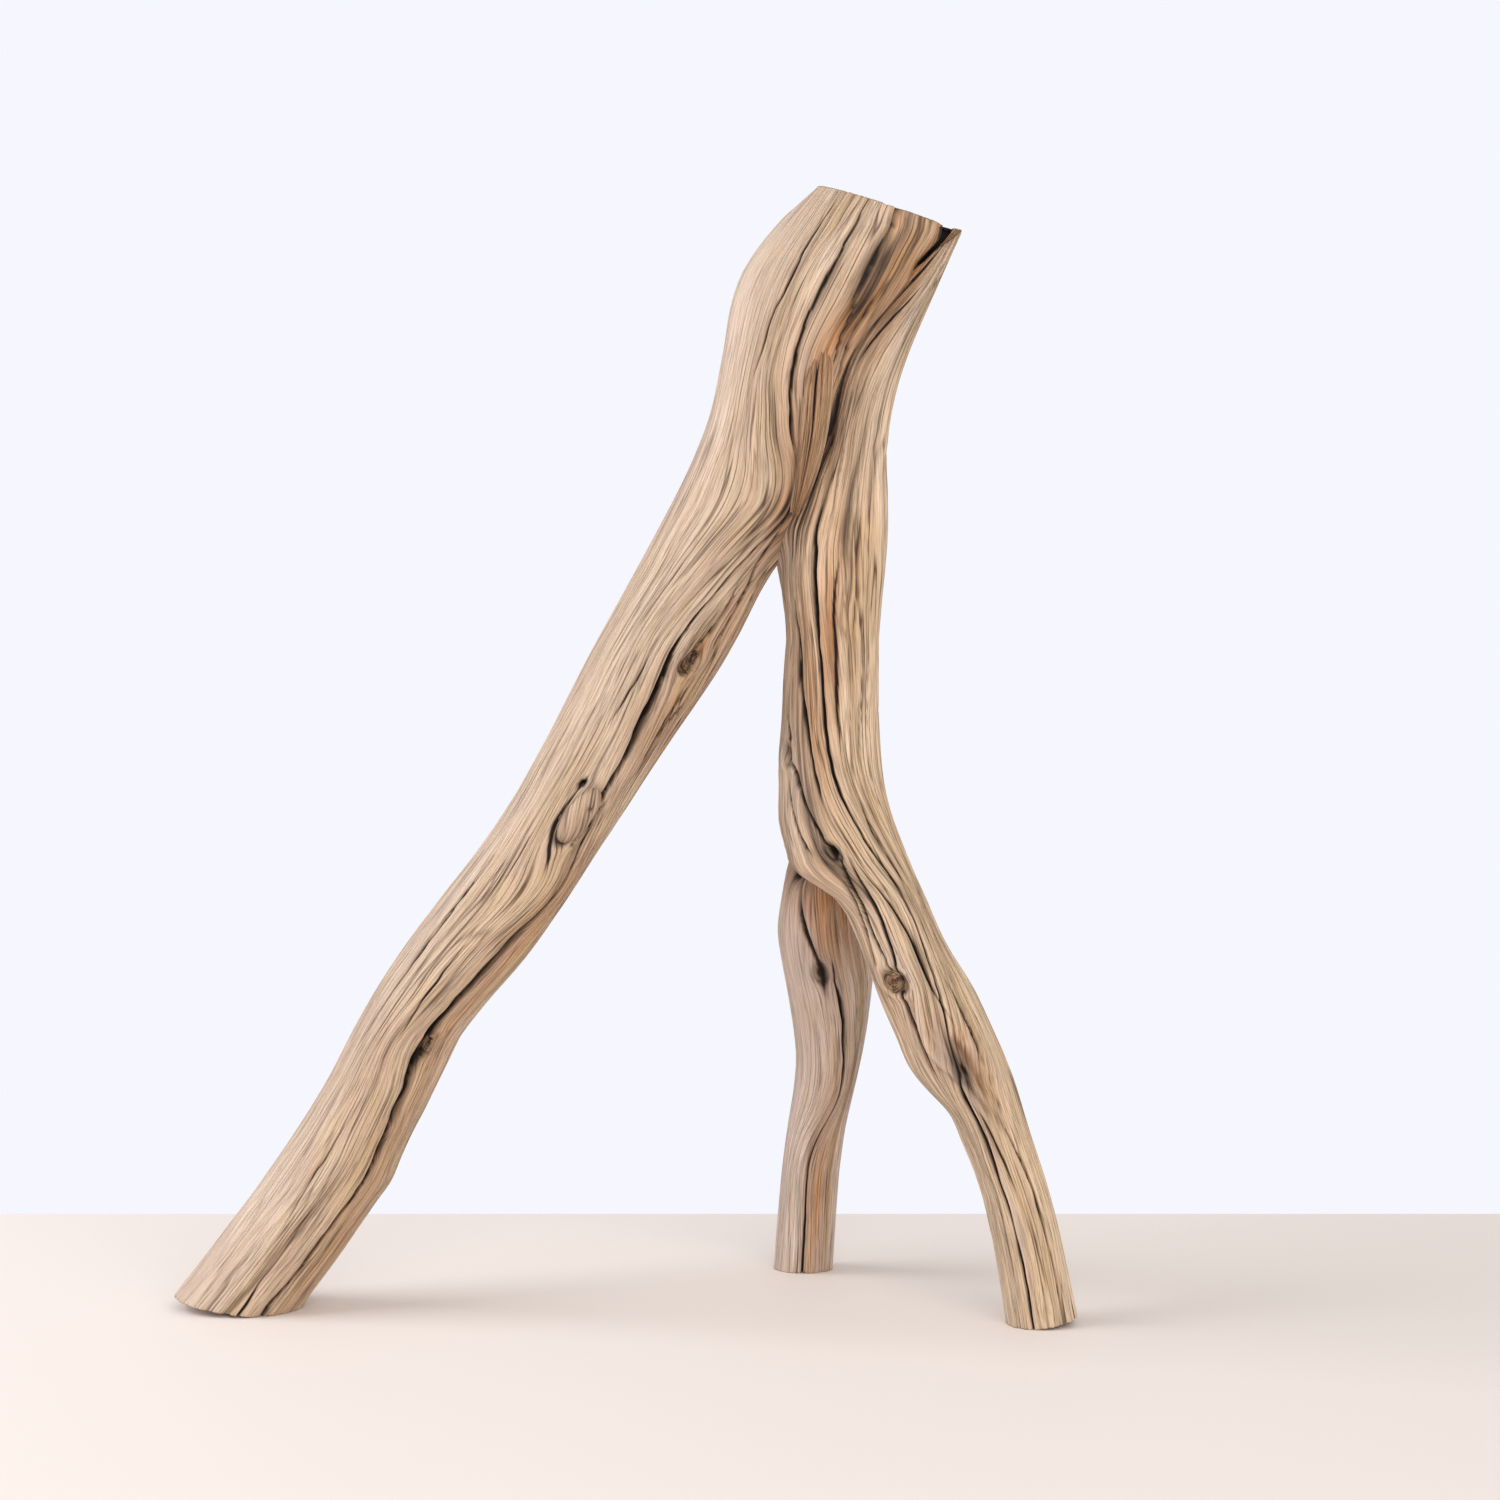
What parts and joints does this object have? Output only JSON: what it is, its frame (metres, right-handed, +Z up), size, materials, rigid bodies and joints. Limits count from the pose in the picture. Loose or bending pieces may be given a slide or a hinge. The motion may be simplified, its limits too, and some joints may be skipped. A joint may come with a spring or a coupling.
{
  "type": "wooden tripod",
  "caption": "Freestanding tripod made from a naturally forked driftwood branch, sawn off flat at its crown and at the feet of its three spreading legs.",
  "frame": {"origin": "middle of the footprint's box, on the surface that the three feet stand on", "axes": "+Z up from the feet to the crown, +X to the right of the front view, +Y to the back, towards the rear leg"},
  "size_m": [0.271, 0.099, 0.3391],
  "materials": {
    "left_wood": "weathered, bare",
    "right_wood": "weathered, bare",
    "rear_wood": "weathered, bare",
    "seam_wood": "weathered, bare",
    "knot_wood": "weathered, bare"
  },
  "bodies": {
    "root": {"left_limb": "left_wood", "right_limb": "right_wood", "rear_limb": "rear_wood", "seam_tongue": "seam_wood", "stub_knot": "knot_wood", "swirl_knot": "knot_wood", "pit_knot": "knot_wood", "front_knot": "knot_wood"}
  },
  "joints": []
}
